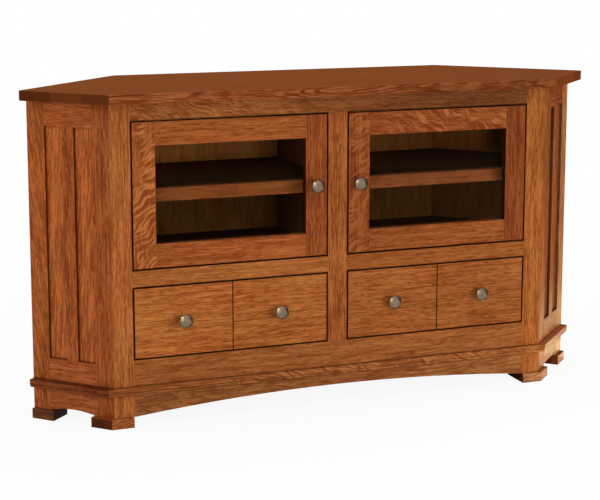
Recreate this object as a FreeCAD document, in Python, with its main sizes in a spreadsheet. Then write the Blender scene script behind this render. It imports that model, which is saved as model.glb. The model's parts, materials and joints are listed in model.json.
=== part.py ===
"""Corner media cabinet: six-sided oak case, two glass doors over two wide drawers.

Plan, seen from above: a long front face, a cant at 45 degrees on each side of it, a rear side square
to each cant, and a back parallel to the front. Millimetres, +Z up, +Y away from the front. The origin
lies on the floor under the middle of the top slab's bounding box.
"""
import FreeCAD, Part
import os

import Sketcher

Vector = FreeCAD.Vector

# Driving sizes: one value for each size that can be set by itself.
SIZES = {
    # Case
    "overall_height": 812,
    "front_width": 1150,
    "cant_length": 230,
    "case_depth": 430,
    "rear_setback": 6,
    # Top slab
    "slab_thickness": 25,
    "front_overhang": 45,
    "side_overhang": 38,
    "slab_edge_round": 2.5,
    # Front frame
    "frame_thickness": 22,
    "post_width": 51,
    "centre_stile_width": 52,
    "top_rail_width": 43.5,
    "mid_rail_width": 41.5,
    "drawer_sill": 165.5,
    "drawer_opening_height": 177.5,
    "arch_rise": 27,
    # Canted side frames
    "side_stile_width": 49,
    "mullion_width": 32,
    "side_top_rail_width": 61,
    "side_sill": 156,
    "side_arch_rise": 8,
    "panel_recess": 8,
    "panel_thickness": 6,
    "groove_depth": 8,
    "groove_room": 1,
    # Feet
    "foot_height": 25,
    "foot_front_overhang": 7,
    "foot_side_overhang": 10.5,
    "front_foot_width": 48,
    "front_foot_return": 60,
    "side_foot_length": 63,
    "foot_depth": 50,
    "foot_round": 1.5,
    "back_foot_size": 60,
    # Base moulding
    "moulding_bottom": 80,
    "moulding_height": 20,
    "moulding_front_projection": 8,
    "moulding_side_projection": 17,
    "moulding_step": 1.5,
    "moulding_band": 9,
    "moulding_cove": 2.5,
    "moulding_round": 2.5,
    # Back, decks and partition
    "rear_thickness": 6,
    "back_thickness": 6,
    "back_clearance": 40,
    "bottom_deck_thickness": 12,
    "middle_deck_thickness": 18,
    "middle_deck_drop": 3.5,
    "partition_thickness": 18,
    # Shelves
    "shelf_drop": 165,
    "shelf_thickness": 18,
    "shelf_setback": 28,
    "lip_thickness": 18,
    "lip_height": 32,
    "shelf_clearance": 1,
    "batten_size": 15,
    "batten_end_gap": 40,
    # Doors
    "door_gap": 3.2,
    "door_thickness": 20,
    "door_stile_width": 55.5,
    "door_rail_width": 57,
    "rebate_width": 10,
    "rebate_lip": 8,
    "glass_thickness": 4,
    "glass_clearance": 1,
    # Door pivots and catches
    "pivot_radius": 2.5,
    "pivot_clearance": 0.08,
    "pivot_from_edge": 8,
    "pivot_from_face": 5,
    "pivot_length": 12,
    "pivot_hole_room": 1,
    "pivot_plate_length": 36,
    "pivot_plate_width": 8,
    "pivot_plate_thickness": 1.5,
    "catch_width": 36,
    "catch_depth": 20,
    "catch_height": 18,
    "catch_drop": 12,
    "strike_thickness": 1.5,
    # Knobs and their screws
    "knob_radius": 17,
    "knob_height": 26,
    "knob_foot_radius": 8,
    "knob_neck_bend": 13,
    "knob_rim_low": 13,
    "knob_rim_high": 16,
    "knob_bore_depth": 11,
    "screw_radius": 2,
    "screw_clearance": 0.05,
    "screw_hole_clearance": 0.2,
    "screw_bite": 9,
    "screw_head_radius": 4,
    "screw_head_height": 2,
    # Drawers
    "drawer_gap": 3.2,
    "drawer_front_thickness": 19,
    "kerf_width": 2.5,
    "kerf_depth": 4,
    "drawer_depth": 305,
    "drawer_box_height": 150,
    "drawer_side_thickness": 12,
    "drawer_bottom_thickness": 6,
    "drawer_bottom_inset": 8,
    "drawer_groove": 6,
    "drawer_side_clearance": 1.5,
    "drawer_lift": 0.3,
    "drawer_wall_thickness": 12,
    "drawer_wall_length": 310,
    "runner_width": 20,
    "runner_height": 5.5,
    "kicker_clearance": 1.5,
    # Cutting tools run past what they cut by this much
    "overrun": 5,
}

# Places worked out from the driving sizes, in the order in which they need each other.
# Points on a cant are given as a run along it from the front corner and a depth in from its face.
PLACES = {
    "diagonal": "sqrt(2)",
    "mitre_share": "sqrt(2) - 1",
    "moulding_corner": "sizes.moulding_side_projection * places.diagonal"
                       " - sizes.moulding_front_projection",
    "moulding_lean": "places.moulding_corner / sizes.moulding_front_projection",
    "half_front": "sizes.front_width / 2",
    "front": "(sizes.front_overhang - sizes.case_depth) / 2",
    "back": "places.front + sizes.case_depth",
    "frame_back": "places.front + sizes.frame_thickness",
    "slab_under": "sizes.overall_height - sizes.slab_thickness",
    "opening_side": "places.half_front - sizes.post_width",
    "stile_side": "sizes.centre_stile_width / 2",
    "drawer_top": "sizes.drawer_sill + sizes.drawer_opening_height",
    "door_sill": "places.drawer_top + sizes.mid_rail_width",
    "door_top": "places.slab_under - sizes.top_rail_width",
    "arch_radius": "(places.opening_side^2 + sizes.arch_rise^2) / (2 * sizes.arch_rise)",
    "mullion_low": "(sizes.cant_length - sizes.mullion_width) / 2",
    "mullion_high": "(sizes.cant_length + sizes.mullion_width) / 2",
    "back_stile": "sizes.cant_length - sizes.side_stile_width",
    "side_top": "places.slab_under - sizes.side_top_rail_width",
    "side_arch_half": "(places.back_stile - sizes.side_stile_width) / 2",
    "side_arch_radius": "(places.side_arch_half^2 + sizes.side_arch_rise^2) / (2 * sizes.side_arch_rise)",
    "panel_back": "sizes.panel_recess + sizes.panel_thickness",
    "rear_outer": "sizes.cant_length - sizes.rear_setback",
    "rear_inner": "places.rear_outer - sizes.rear_thickness",
    "corner_outer": "sizes.case_depth * places.diagonal - places.rear_outer",
    "corner_inner": "(sizes.case_depth - sizes.back_thickness) * places.diagonal - places.rear_inner",
    "bottom_deck_top": "sizes.drawer_sill - sizes.runner_height",
    "bottom_deck_under": "places.bottom_deck_top - sizes.bottom_deck_thickness",
    "middle_deck_top": "places.door_sill - sizes.middle_deck_drop",
    "middle_deck_under": "places.middle_deck_top - sizes.middle_deck_thickness",
    "partition_side": "sizes.partition_thickness / 2",
    "lip_front": "places.front + sizes.shelf_setback",
    "lip_back": "places.lip_front + sizes.lip_thickness",
    "shelf_inner": "places.partition_side + sizes.shelf_clearance",
    "shelf_cant": "sizes.frame_thickness + sizes.shelf_clearance",
    "shelf_rear": "places.rear_inner - sizes.shelf_clearance",
    "shelf_back": "sizes.case_depth - sizes.back_thickness - sizes.shelf_clearance",
    "door_near": "places.stile_side + sizes.door_gap",
    "door_far": "places.opening_side - sizes.door_gap",
    "door_low": "places.door_sill + sizes.door_gap",
    "door_high": "places.door_top - sizes.door_gap",
    "door_back": "places.front + sizes.door_thickness",
    "shelf_top": "places.door_high - sizes.shelf_drop",
    "shelf_under": "places.shelf_top - sizes.shelf_thickness",
    "light_near": "places.door_near + sizes.door_stile_width",
    "light_far": "places.door_far - sizes.door_stile_width",
    "light_low": "places.door_low + sizes.door_rail_width",
    "light_high": "places.door_high - sizes.door_rail_width",
    "rebate": "places.front + sizes.rebate_lip",
    "glass_back": "places.rebate + sizes.glass_thickness",
    "glass_reach": "sizes.rebate_width - sizes.glass_clearance",
    "pivot_across": "places.door_far - sizes.pivot_from_edge",
    "pivot_along": "places.front + sizes.pivot_from_face",
    "door_knob_across": "places.door_near + sizes.door_stile_width / 2",
    "door_knob_height": "(places.door_low + places.door_high) / 2",
    "knob_dome": "sizes.knob_height - sizes.knob_rim_high",
    "knob_dome_radius": "(sizes.knob_radius^2 + places.knob_dome^2) / (2 * places.knob_dome)",
    "strike_back": "places.door_back + sizes.strike_thickness",
    "catch_high": "places.door_high - sizes.catch_drop",
    "catch_low": "places.catch_high - sizes.catch_height",
    "drawer_near": "places.stile_side + sizes.drawer_gap",
    "drawer_far": "places.opening_side - sizes.drawer_gap",
    "drawer_low": "sizes.drawer_sill + sizes.drawer_gap",
    "drawer_high": "places.drawer_top - sizes.drawer_gap",
    "drawer_middle": "(places.drawer_near + places.drawer_far) / 2",
    "drawer_front_back": "places.front + sizes.drawer_front_thickness",
    "drawer_end": "places.drawer_front_back + sizes.drawer_depth",
    "box_near": "places.stile_side + sizes.drawer_side_clearance",
    "box_far": "places.opening_side - sizes.drawer_side_clearance",
    "box_near_inside": "places.box_near + sizes.drawer_side_thickness",
    "box_far_inside": "places.box_far - sizes.drawer_side_thickness",
    "box_under": "sizes.drawer_sill + sizes.drawer_lift",
    "box_top": "places.box_under + sizes.drawer_box_height",
    "drawer_bottom_under": "places.box_under + sizes.drawer_bottom_inset",
    "drawer_bottom_top": "places.drawer_bottom_under + sizes.drawer_bottom_thickness",
    "drawer_knob_height": "(places.drawer_low + places.drawer_high) / 2",
    "wall_end": "places.frame_back + sizes.drawer_wall_length",
    "kicker_under": "places.box_top + sizes.kicker_clearance",
}

HANDS = (("left", -1), ("right", 1))
PLAN_TURN = 45

doc = FreeCAD.newDocument("corner_cabinet")
sizes = doc.addObject("Spreadsheet::Sheet", "sizes")
for row, (name, size) in enumerate(SIZES.items(), start=1):
    sizes.set(f"A{row}", name)
    sizes.set(f"B{row}", str(size))
    sizes.setAlias(f"B{row}", name)
doc.recompute()

places = doc.addObject("App::VarSet", "places")
for name, rule in PLACES.items():
    places.addProperty("App::PropertyFloat", name, "Places")
    places.setExpression(name, rule)
    doc.recompute()

subparts = {}


def number(rule):
    """Value of a rule now."""
    return float(places.evalExpression(rule))


def keep(label, piece):
    """Name a finished sub-part, under its file name."""
    piece.Label = label
    subparts[label] = piece
    return piece


def middle(low, high):
    return f"({low} + {high}) / 2"


def cant_across(run, depth):
    """X of a point on the right-hand cant."""
    return f"(places.half_front + ({run} - ({depth})) / places.diagonal)"


def cant_along(run, depth):
    """Y of a point on either cant."""
    return f"(places.front + ({run} + {depth}) / places.diagonal)"


def mirrored(hand, rule):
    """X rule of the right-hand piece, taken to the given hand."""
    return f"({rule})" if hand > 0 else f"-({rule})"


def place_on_cant(piece, hand, run, depth, height):
    """Stand a piece's own origin on a cant, its X along the cant and its Y into the case."""
    piece.setExpression("Placement.Base.x", mirrored(hand, cant_across(run, depth)))
    piece.setExpression("Placement.Base.y", cant_along(run, depth))
    piece.setExpression("Placement.Base.z", height)
    piece.Placement.Rotation = FreeCAD.Rotation(Vector(0, 0, 1), hand * PLAN_TURN)


def origin_plane(body, role):
    return [item for item in body.Origin.OriginFeatures if item.Role == role][0]


def draw_outline(sketch, corners):
    """Closed outline through corners (x rule, y rule), each bound to the sheet.

    A corner that also gives a radius rule and a side starts an arc to the next corner; the side is
    1 where the arc's centre lies left of the way to the next corner, and -1 where it lies right.
    """
    count = len(corners)
    points = [Vector(number(corner[0]), number(corner[1]), 0) for corner in corners]
    ends = []
    for index, corner in enumerate(corners):
        start, end = points[index], points[(index + 1) % count]
        if len(corner) == 2:
            ends.append((sketch.addGeometry(Part.LineSegment(start, end), False), 1, 2))
            continue
        radius, side = number(corner[2]), corner[3]
        chord = end - start
        away = Vector(chord.y, -chord.x, 0).normalize() * side
        sag = radius - (radius ** 2 - (chord.Length / 2) ** 2) ** 0.5
        top = (start + end) * 0.5 + away * sag
        arc = sketch.addGeometry(Part.Arc(start, top, end), False)
        turned = (sketch.getPoint(arc, 1) - start).Length > (sketch.getPoint(arc, 2) - start).Length
        ends.append((arc, 2, 1) if turned else (arc, 1, 2))
    for index, corner in enumerate(corners):
        edge, first, last = ends[index]
        next_edge, next_first = ends[(index + 1) % count][:2]
        sketch.addConstraint(Sketcher.Constraint("Coincident", edge, last, next_edge, next_first))
        for kind, rule in (("DistanceX", corner[0]), ("DistanceY", corner[1])):
            tie = sketch.addConstraint(Sketcher.Constraint(kind, -1, 1, edge, first, number(rule)))
            sketch.setExpression(f"Constraints[{tie}]", rule)
        if len(corner) > 2:
            tie = sketch.addConstraint(Sketcher.Constraint("Radius", edge, number(corner[2])))
            sketch.setExpression(f"Constraints[{tie}]", corner[2])


def sketch_on(body, name, role, corners):
    sketch = body.newObject("Sketcher::SketchObject", name)
    sketch.AttachmentSupport = [(origin_plane(body, role), "")]
    sketch.MapMode = "FlatFace"
    draw_outline(sketch, corners)
    return sketch


def board(name, corners, low, high, ease=None):
    """Board or pad with the plan outline given, from one height to another, edges eased if asked."""
    body = doc.addObject("PartDesign::Body", name)
    plan = sketch_on(body, name + "_plan", "XY_Plane", corners)
    pad = body.newObject("PartDesign::Pad", name + "_pad")
    pad.Profile = plan
    pad.setExpression("Length", f"{high} - ({low})")
    body.setExpression("Placement.Base.z", low)
    if ease:
        fillet = body.newObject("PartDesign::Fillet", name + "_ease")
        fillet.Base = (pad, ["Edge1"])
        fillet.UseAllEdges = True
        fillet.setExpression("Radius", ease)
        body.Tip = fillet
    return body


def handed(corners, hand):
    """Corners of a right-hand outline, mirrored for the left hand."""
    return [(mirrored(hand, across), along) for across, along in corners]


def cant_board(name, hand, corners, low, high):
    """Upright board on a cant, outlined by runs along the cant and depths into it."""
    body = board(name, handed(corners, hand), low, high)
    place_on_cant(body, hand, "0", "0", low)
    return body


def block(name, across, along, up, hand=1):
    """Square block between pairs of X, Y and Z rules, mirrored for the left hand."""
    box = doc.addObject("Part::Box", name)
    box.setExpression("Length", f"{across[1]} - ({across[0]})")
    box.setExpression("Width", f"{along[1]} - ({along[0]})")
    box.setExpression("Height", f"{up[1]} - ({up[0]})")
    box.setExpression("Placement.Base.x", mirrored(hand, across[0] if hand > 0 else across[1]))
    box.setExpression("Placement.Base.y", along[0])
    box.setExpression("Placement.Base.z", up[0])
    return box


def cant_block(name, hand, run, depth, up):
    """Square block on a cant, between pairs of runs, depths and heights."""
    box = doc.addObject("Part::Box", name)
    box.setExpression("Length", f"{run[1]} - ({run[0]})")
    box.setExpression("Width", f"{depth[1]} - ({depth[0]})")
    box.setExpression("Height", f"{up[1]} - ({up[0]})")
    place_on_cant(box, hand, run[0] if hand > 0 else run[1], depth[0], up[0])
    return box


def rod(name, radius, length, across, along, up, hand=1, level=False):
    """Cylinder that stands up from a point, or lies level and runs towards the back from it."""
    cylinder = doc.addObject("Part::Cylinder", name)
    cylinder.setExpression("Radius", radius)
    cylinder.setExpression("Height", length)
    cylinder.setExpression("Placement.Base.x", mirrored(hand, across))
    cylinder.setExpression("Placement.Base.y", along)
    cylinder.setExpression("Placement.Base.z", up)
    if level:
        cylinder.Placement.Rotation = FreeCAD.Rotation(Vector(1, 0, 0), -90)
    return cylinder


def cut(name, base, *tools):
    """Base less each tool in turn."""
    for index, tool in enumerate(tools, start=1):
        less = doc.addObject("Part::Cut", f"{name}_cut_{index}")
        less.Base = base
        less.Tool = tool
        base = less
    return base


def fuse(name, base, tool):
    joined = doc.addObject("Part::Fuse", name)
    joined.Base = base
    joined.Tool = tool
    return joined


def group(label, *pieces):
    """Several separate solids that share one name."""
    compound = doc.addObject("Part::Compound", label)
    compound.Links = list(pieces)
    return keep(label, compound)


def make_top_slab():
    right = [
        ("places.half_front - sizes.front_overhang + sizes.side_overhang * places.diagonal",
         "places.front - sizes.front_overhang"),
        (cant_across("places.rear_outer", "-sizes.side_overhang"),
         cant_along("places.rear_outer", "-sizes.side_overhang")),
        (cant_across("places.rear_outer", "places.corner_outer"), "places.back"),
    ]
    outline = right + list(reversed(handed(right, -1)))
    keep("top_slab", board("top_slab", outline, "places.slab_under", "sizes.overall_height",
                           ease="sizes.slab_edge_round"))


def make_front_frame():
    for side, hand in HANDS:
        corners = [
            ("places.opening_side", "places.front"),
            ("places.half_front", "places.front"),
            ("places.half_front - places.mitre_share * sizes.frame_thickness", "places.frame_back"),
            ("places.opening_side", "places.frame_back"),
        ]
        name = f"front_post_{side}"
        keep(name, board(name, handed(corners, hand), "sizes.foot_height", "places.slab_under"))
        keep(f"mid_rail_{side}", block(
            f"mid_rail_{side}", ("places.stile_side", "places.opening_side"),
            ("places.front", "places.frame_back"), ("places.drawer_top", "places.door_sill"), hand))
    full = ("-places.opening_side", "places.opening_side")
    depth = ("places.front", "places.frame_back")
    keep("centre_stile", block("centre_stile", ("-places.stile_side", "places.stile_side"), depth,
                               ("sizes.drawer_sill", "places.door_top")))
    keep("top_rail", block("top_rail", full, depth, ("places.door_top", "places.slab_under")))
    sill = block("bottom_rail_board", full, depth, ("sizes.foot_height", "sizes.drawer_sill"))
    arch = rod("bottom_rail_arch", "places.arch_radius", "sizes.frame_thickness + 2 * sizes.overrun",
               "0", "places.front - sizes.overrun",
               "sizes.foot_height + sizes.arch_rise - places.arch_radius", level=True)
    keep("bottom_rail", cut("bottom_rail", sill, arch))


def make_side_frame(side, hand):
    """Frame of one cant: two stiles, a mullion, two rails and the two panels held in their grooves."""
    height = ("sizes.foot_height", "places.slab_under")
    front_groove = "sizes.side_stile_width - sizes.groove_depth"
    back_groove = "places.back_stile + sizes.groove_depth"
    front_stile = [
        ("0", "0"),
        ("sizes.side_stile_width", "0"),
        ("sizes.side_stile_width", "sizes.panel_recess"),
        (front_groove, "sizes.panel_recess"),
        (front_groove, "places.panel_back"),
        ("sizes.side_stile_width", "places.panel_back"),
        ("sizes.side_stile_width", "sizes.frame_thickness"),
        ("places.mitre_share * sizes.frame_thickness", "sizes.frame_thickness"),
    ]
    name = f"side_front_stile_{side}"
    keep(name, cant_board(name, hand, front_stile, *height))
    back_stile = [
        ("places.back_stile", "0"),
        ("sizes.cant_length", "0"),
        ("sizes.cant_length", "sizes.frame_thickness"),
        ("places.back_stile", "sizes.frame_thickness"),
        ("places.back_stile", "places.panel_back"),
        (back_groove, "places.panel_back"),
        (back_groove, "sizes.panel_recess"),
        ("places.back_stile", "sizes.panel_recess"),
    ]
    name = f"side_back_stile_{side}"
    keep(name, cant_board(name, hand, back_stile, *height))
    low_groove = "places.mullion_low + sizes.groove_depth"
    high_groove = "places.mullion_high - sizes.groove_depth"
    mullion = [
        ("places.mullion_low", "0"),
        ("places.mullion_high", "0"),
        ("places.mullion_high", "sizes.panel_recess"),
        (high_groove, "sizes.panel_recess"),
        (high_groove, "places.panel_back"),
        ("places.mullion_high", "places.panel_back"),
        ("places.mullion_high", "sizes.frame_thickness"),
        ("places.mullion_low", "sizes.frame_thickness"),
        ("places.mullion_low", "places.panel_back"),
        (low_groove, "places.panel_back"),
        (low_groove, "sizes.panel_recess"),
        ("places.mullion_low", "sizes.panel_recess"),
    ]
    name = f"side_mullion_{side}"
    keep(name, cant_board(name, hand, mullion, "sizes.side_sill", "places.side_top"))

    between = ("sizes.side_stile_width", "places.back_stile")
    depth = ("0", "sizes.frame_thickness")
    top = cant_block(f"side_top_rail_{side}", hand, between, depth,
                     ("places.side_top", "places.slab_under"))
    sill = cant_block(f"side_bottom_rail_board_{side}", hand, between, depth,
                      ("sizes.foot_height", "sizes.side_sill"))
    arch = doc.addObject("Part::Cylinder", f"side_arch_{side}")
    arch.setExpression("Radius", "places.side_arch_radius")
    arch.setExpression("Height", "sizes.frame_thickness + 2 * sizes.overrun")
    place_on_cant(arch, hand, middle(*between), "-sizes.overrun",
                  "sizes.foot_height + sizes.side_arch_rise - places.side_arch_radius")
    level = FreeCAD.Rotation(Vector(1, 0, 0), -90)
    arch.Placement.Rotation = arch.Placement.Rotation.multiply(level)
    keep(f"side_top_rail_{side}", top)
    keep(f"side_bottom_rail_{side}", cut(f"side_bottom_rail_{side}", sill, arch))

    tongue = "sizes.groove_depth - sizes.groove_room"
    panels = []
    for place, low, high in (("front", "sizes.side_stile_width", "places.mullion_low"),
                             ("back", "places.mullion_high", "places.back_stile")):
        panels.append(cant_block(
            f"side_panel_{place}_{side}", hand, (f"{low} - ({tongue})", f"{high} + {tongue}"),
            ("sizes.panel_recess", "places.panel_back"), ("sizes.side_sill", "places.side_top")))
    group(f"side_panels_{side}", *panels)


def make_feet(side, hand):
    """Pads under the front corner and under the cant's far end."""
    inner = "places.half_front - sizes.front_foot_width"
    outer_depth = "-sizes.foot_side_overhang"
    front = [
        (inner, "places.front - sizes.foot_front_overhang"),
        ("places.half_front - sizes.foot_front_overhang + sizes.foot_side_overhang * places.diagonal",
         "places.front - sizes.foot_front_overhang"),
        (cant_across("sizes.front_foot_return", outer_depth),
         cant_along("sizes.front_foot_return", outer_depth)),
        (cant_across("sizes.front_foot_return", "sizes.foot_depth"),
         cant_along("sizes.front_foot_return", "sizes.foot_depth")),
        (inner, cant_along("sizes.front_foot_return", "sizes.foot_depth")),
    ]
    name = f"front_foot_{side}"
    keep(name, board(name, handed(front, hand), "0", "sizes.foot_height", ease="sizes.foot_round"))
    start = "sizes.cant_length - sizes.side_foot_length"
    pad = [
        (start, outer_depth),
        ("sizes.cant_length", outer_depth),
        ("sizes.cant_length", "sizes.foot_depth"),
        (start, "sizes.foot_depth"),
    ]
    name = f"side_foot_{side}"
    body = board(name, handed(pad, hand), "0", "sizes.foot_height", ease="sizes.foot_round")
    place_on_cant(body, hand, "0", "0", "0")
    keep(name, body)


def make_back_feet():
    """Blocks in the two back corners, from the floor up to the bottom deck."""
    corner = cant_across("places.rear_inner", "places.corner_inner")
    inside = "places.back - sizes.back_thickness"
    heel = [
        (corner, inside),
        (f"{corner} - sizes.back_foot_size", inside),
        (f"{corner} - sizes.back_foot_size", f"{inside} - sizes.back_foot_size"),
        (f"{corner} + sizes.back_foot_size", f"{inside} - sizes.back_foot_size"),
    ]
    group("back_feet", *[board(f"back_foot_{side}", handed(heel, hand), "0",
                               "places.bottom_deck_under") for side, hand in HANDS])


def moulding_strip(name, hand, projection, near, far):
    """Moulded strip along its own X between two rules, its back on the plane Y = 0."""
    band = f"-({projection} - sizes.moulding_step)"
    nose = f"-{projection}"
    profile = [
        ("0", "0"),
        (f"{band} + sizes.moulding_cove", "0", "sizes.moulding_cove", 1),
        (band, "sizes.moulding_cove"),
        (band, "sizes.moulding_band"),
        (nose, "sizes.moulding_band"),
        (nose, "sizes.moulding_height - sizes.moulding_round", "sizes.moulding_round", -1),
        (f"{nose} + sizes.moulding_round", "sizes.moulding_height"),
        ("0", "sizes.moulding_height"),
    ]
    body = doc.addObject("PartDesign::Body", name)
    section = sketch_on(body, name + "_section", "YZ_Plane", profile)
    section.setExpression("AttachmentOffset.Base.z", mirrored(hand, near if hand > 0 else far))
    pad = body.newObject("PartDesign::Pad", name + "_pad")
    pad.Profile = section
    pad.setExpression("Length", f"{far} - ({near})")
    return body


def make_base_moulding():
    """Moulding round the front and the cants, mitred at the front corners, square at the rear."""
    front_end = "(places.half_front + places.moulding_corner + sizes.overrun)"
    front = moulding_strip("front_moulding_strip", 1, "sizes.moulding_front_projection",
                           f"-{front_end}", front_end)
    front.setExpression("Placement.Base.y", "places.front")
    front.setExpression("Placement.Base.z", "sizes.moulding_bottom")
    ends = [mitre_block(f"front_mitre_{side}", hand, True) for side, hand in HANDS]
    keep("base_moulding_front", cut("base_moulding_front", front, *ends))
    for side, hand in HANDS:
        start = "-(sizes.moulding_front_projection * places.diagonal + sizes.overrun)"
        strip = moulding_strip(f"side_moulding_strip_{side}", hand,
                               "sizes.moulding_side_projection", start, "sizes.cant_length")
        place_on_cant(strip, hand, "0", "0", "sizes.moulding_bottom")
        name = f"base_moulding_{side}"
        keep(name, cut(name, strip, mitre_block(f"side_mitre_{side}", hand, False)))


def mitre_block(name, hand, past_corner):
    """Wedge that cuts a strip at a front corner's mitre plane, past the corner or before it."""
    reach = "(places.moulding_corner + sizes.moulding_side_projection + 2 * sizes.overrun)"
    lean = f"places.moulding_lean * {reach}"
    far = f"({reach} + {lean})" if past_corner else f"-({reach} + {lean})"
    corners = [
        (f"places.half_front - {lean}", f"places.front + {reach}"),
        (f"places.half_front + {lean}", f"places.front - {reach}"),
        (f"places.half_front + {far} + {lean}", f"places.front - {reach}"),
        (f"places.half_front + {far} - {lean}", f"places.front + {reach}"),
    ]
    return board(name, handed(corners, hand), "sizes.moulding_bottom - sizes.overrun",
                 "sizes.moulding_bottom + sizes.moulding_height + sizes.overrun")


def make_carcass():
    """Back, rear sides, decks, partition and drawer walls."""
    right = [
        (cant_across("places.rear_outer", "places.corner_outer"), "places.back"),
        (cant_across("places.rear_inner", "places.corner_inner"),
         "places.back - sizes.back_thickness"),
    ]
    height = ("sizes.back_clearance", "places.slab_under")
    outline = right + list(reversed(handed(right, -1)))
    keep("back_panel", board("back_panel", outline, *height))
    corners = [
        ("places.rear_inner", "sizes.frame_thickness"),
        ("places.rear_outer", "sizes.frame_thickness"),
        ("places.rear_outer", "places.corner_outer"),
        ("places.rear_inner", "places.corner_inner"),
    ]
    group("rear_panels", *[cant_board(f"rear_panel_{side}", hand, corners, *height)
                           for side, hand in HANDS])
    right = [
        ("places.half_front - places.mitre_share * sizes.frame_thickness", "places.frame_back"),
        (cant_across("places.rear_inner", "sizes.frame_thickness"),
         cant_along("places.rear_inner", "sizes.frame_thickness")),
        (cant_across("places.rear_inner", "places.corner_inner"),
         "places.back - sizes.back_thickness"),
    ]
    outline = right + list(reversed(handed(right, -1)))
    keep("bottom_deck", board("bottom_deck", outline, "places.bottom_deck_under",
                              "places.bottom_deck_top"))
    keep("middle_deck", board("middle_deck", outline, "places.middle_deck_under",
                              "places.middle_deck_top"))
    keep("partition", block("partition", ("-places.partition_side", "places.partition_side"),
                            ("places.frame_back", "places.back - sizes.back_thickness"),
                            ("places.middle_deck_top", "places.slab_under")))


def make_shelves():
    """A shelf in each door compartment, with a deeper lip, on battens."""
    battens = []
    for side, hand in HANDS:
        lip = [
            ("places.shelf_inner", "places.lip_front"),
            ("places.half_front + sizes.shelf_setback - places.shelf_cant * places.diagonal",
             "places.lip_front"),
            ("places.half_front + sizes.shelf_setback + sizes.lip_thickness"
             " - places.shelf_cant * places.diagonal", "places.lip_back"),
            ("places.shelf_inner", "places.lip_back"),
        ]
        back_depth = "(places.shelf_back * places.diagonal - places.shelf_rear)"
        panel = [
            lip[3],
            lip[2],
            (cant_across("places.shelf_rear", "places.shelf_cant"),
             cant_along("places.shelf_rear", "places.shelf_cant")),
            (cant_across("places.shelf_rear", back_depth), "places.front + places.shelf_back"),
            ("places.shelf_inner", "places.front + places.shelf_back"),
        ]
        group(f"shelf_{side}",
              board(f"shelf_board_{side}", handed(panel, hand), "places.shelf_under",
                    "places.shelf_top"),
              board(f"shelf_lip_{side}", handed(lip, hand), "places.shelf_top - sizes.lip_height",
                    "places.shelf_top"))
        up = ("places.shelf_under - sizes.batten_size", "places.shelf_under")
        battens.append(block(
            f"inner_batten_{side}",
            ("places.partition_side", "places.partition_side + sizes.batten_size"),
            ("places.lip_back + sizes.shelf_clearance",
             "places.back - sizes.back_thickness - sizes.batten_end_gap"), up, hand))
        battens.append(cant_block(
            f"outer_batten_{side}", hand,
            ("places.rear_inner - sizes.batten_size", "places.rear_inner"),
            ("sizes.frame_thickness + sizes.batten_end_gap",
             "places.corner_inner - sizes.batten_end_gap"), up))
    group("shelf_battens", *battens)


def make_drawer_housing():
    """Walls beside the drawers, the strips they run on and the strips that keep them level."""
    walls = []
    guides = []
    depth = ("places.frame_back", "places.wall_end")
    for side, hand in HANDS:
        for place, low, high in (
                ("inner", "places.stile_side - sizes.drawer_wall_thickness", "places.stile_side"),
                ("outer", "places.opening_side",
                 "places.opening_side + sizes.drawer_wall_thickness")):
            walls.append(block(f"{place}_wall_{side}", (low, high), depth,
                               ("places.bottom_deck_top", "places.middle_deck_under"), hand))
        for place, low, high in (
                ("inner", "places.stile_side", "places.stile_side + sizes.runner_width"),
                ("outer", "places.opening_side - sizes.runner_width", "places.opening_side")):
            guides.append(block(f"{place}_runner_{side}", (low, high), depth,
                                ("places.bottom_deck_top", "sizes.drawer_sill"), hand))
            guides.append(block(f"{place}_kicker_{side}", (low, high), depth,
                                ("places.kicker_under", "places.middle_deck_under"), hand))
    group("drawer_walls", *walls)
    group("drawer_guides", *guides)


def make_knob(name, hand, across, up, thickness):
    """Mushroom knob on a face, and the screw that holds it from behind a board so thick."""
    profile = [
        ("sizes.screw_radius + sizes.screw_clearance", "0"),
        ("sizes.knob_foot_radius", "0", "sizes.knob_neck_bend", -1),
        ("sizes.knob_radius", "sizes.knob_rim_low"),
        ("sizes.knob_radius", "sizes.knob_rim_high", "places.knob_dome_radius", 1),
        ("0", "sizes.knob_height"),
        ("0", "sizes.knob_bore_depth"),
        ("sizes.screw_radius + sizes.screw_clearance", "sizes.knob_bore_depth"),
    ]
    body = doc.addObject("PartDesign::Body", name)
    section = sketch_on(body, name + "_section", "XZ_Plane", profile)
    turned = body.newObject("PartDesign::Revolution", name + "_turning")
    turned.Profile = section
    turned.ReferenceAxis = (section, ["V_Axis"])
    turned.Angle = 360
    body.setExpression("Placement.Base.x", mirrored(hand, across))
    body.setExpression("Placement.Base.y", "places.front")
    body.setExpression("Placement.Base.z", up)
    body.Placement.Rotation = FreeCAD.Rotation(Vector(1, 0, 0), 90)
    shank = rod(name + "_shank", "sizes.screw_radius", f"sizes.screw_bite + {thickness}",
                across, "places.front - sizes.screw_bite", up, hand, level=True)
    head = rod(name + "_head", "sizes.screw_head_radius", "sizes.screw_head_height",
               across, f"places.front + {thickness}", up, hand, level=True)
    return [body, fuse(name + "_screw", shank, head)]


def screw_hole(name, hand, across, up, thickness):
    return rod(name, "sizes.screw_radius + sizes.screw_hole_clearance",
               f"{thickness} + 2 * sizes.overrun", across, "places.front - sizes.overrun", up,
               hand, level=True)


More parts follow.
